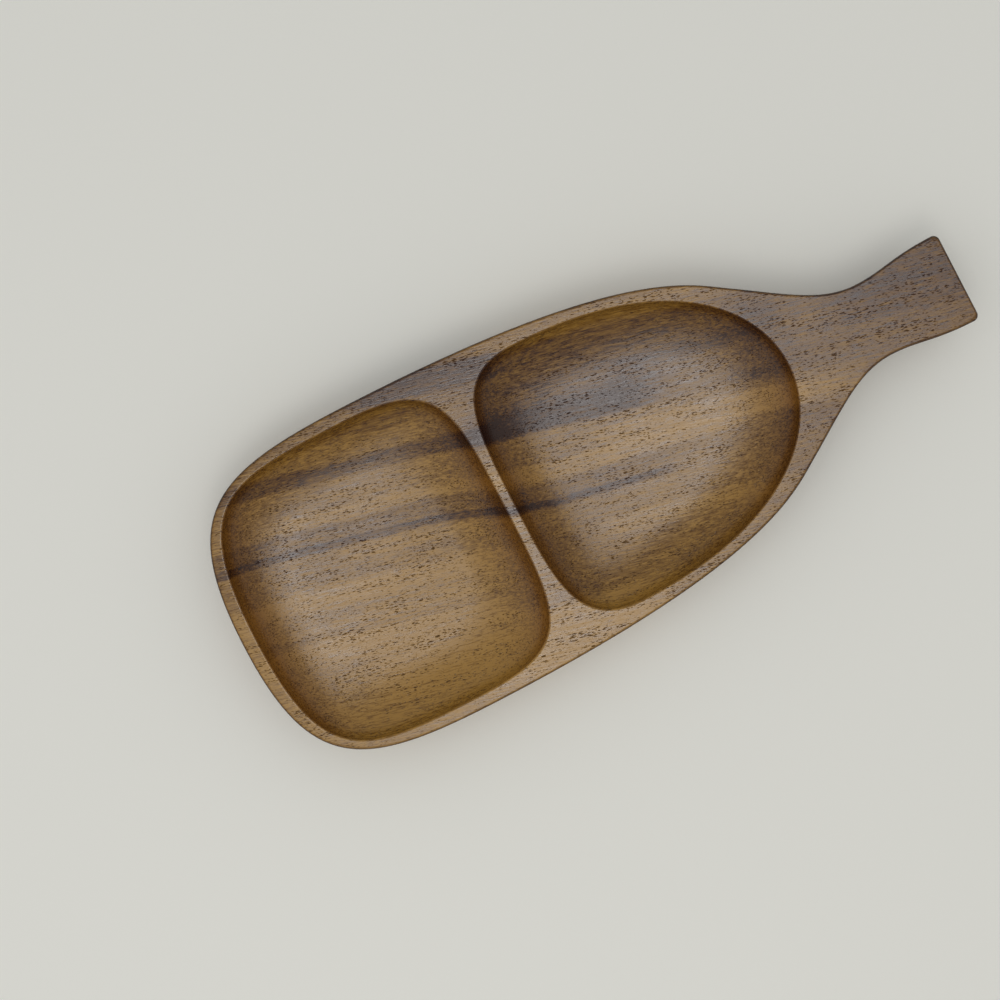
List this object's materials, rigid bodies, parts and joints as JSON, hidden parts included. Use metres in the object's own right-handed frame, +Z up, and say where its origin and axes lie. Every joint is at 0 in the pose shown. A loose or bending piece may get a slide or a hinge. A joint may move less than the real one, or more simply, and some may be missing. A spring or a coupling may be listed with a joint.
{
  "type": "divided serving bowl",
  "caption": "Shallow wooden serving bowl in the outline of a bottle, with side-by-side hollows parted by a low divider and a flared handle.",
  "frame": {"origin": "middle of the bowl's length and width, on the surface it stands on", "axes": "+X along the length towards the handle, +Z up out of the hollows, Y across the bowl"},
  "size_m": [0.44, 0.182, 0.032],
  "materials": {
    "wood": "satin, oiled"
  },
  "bodies": {
    "root": {"carved_bowl": "wood"}
  },
  "joints": []
}
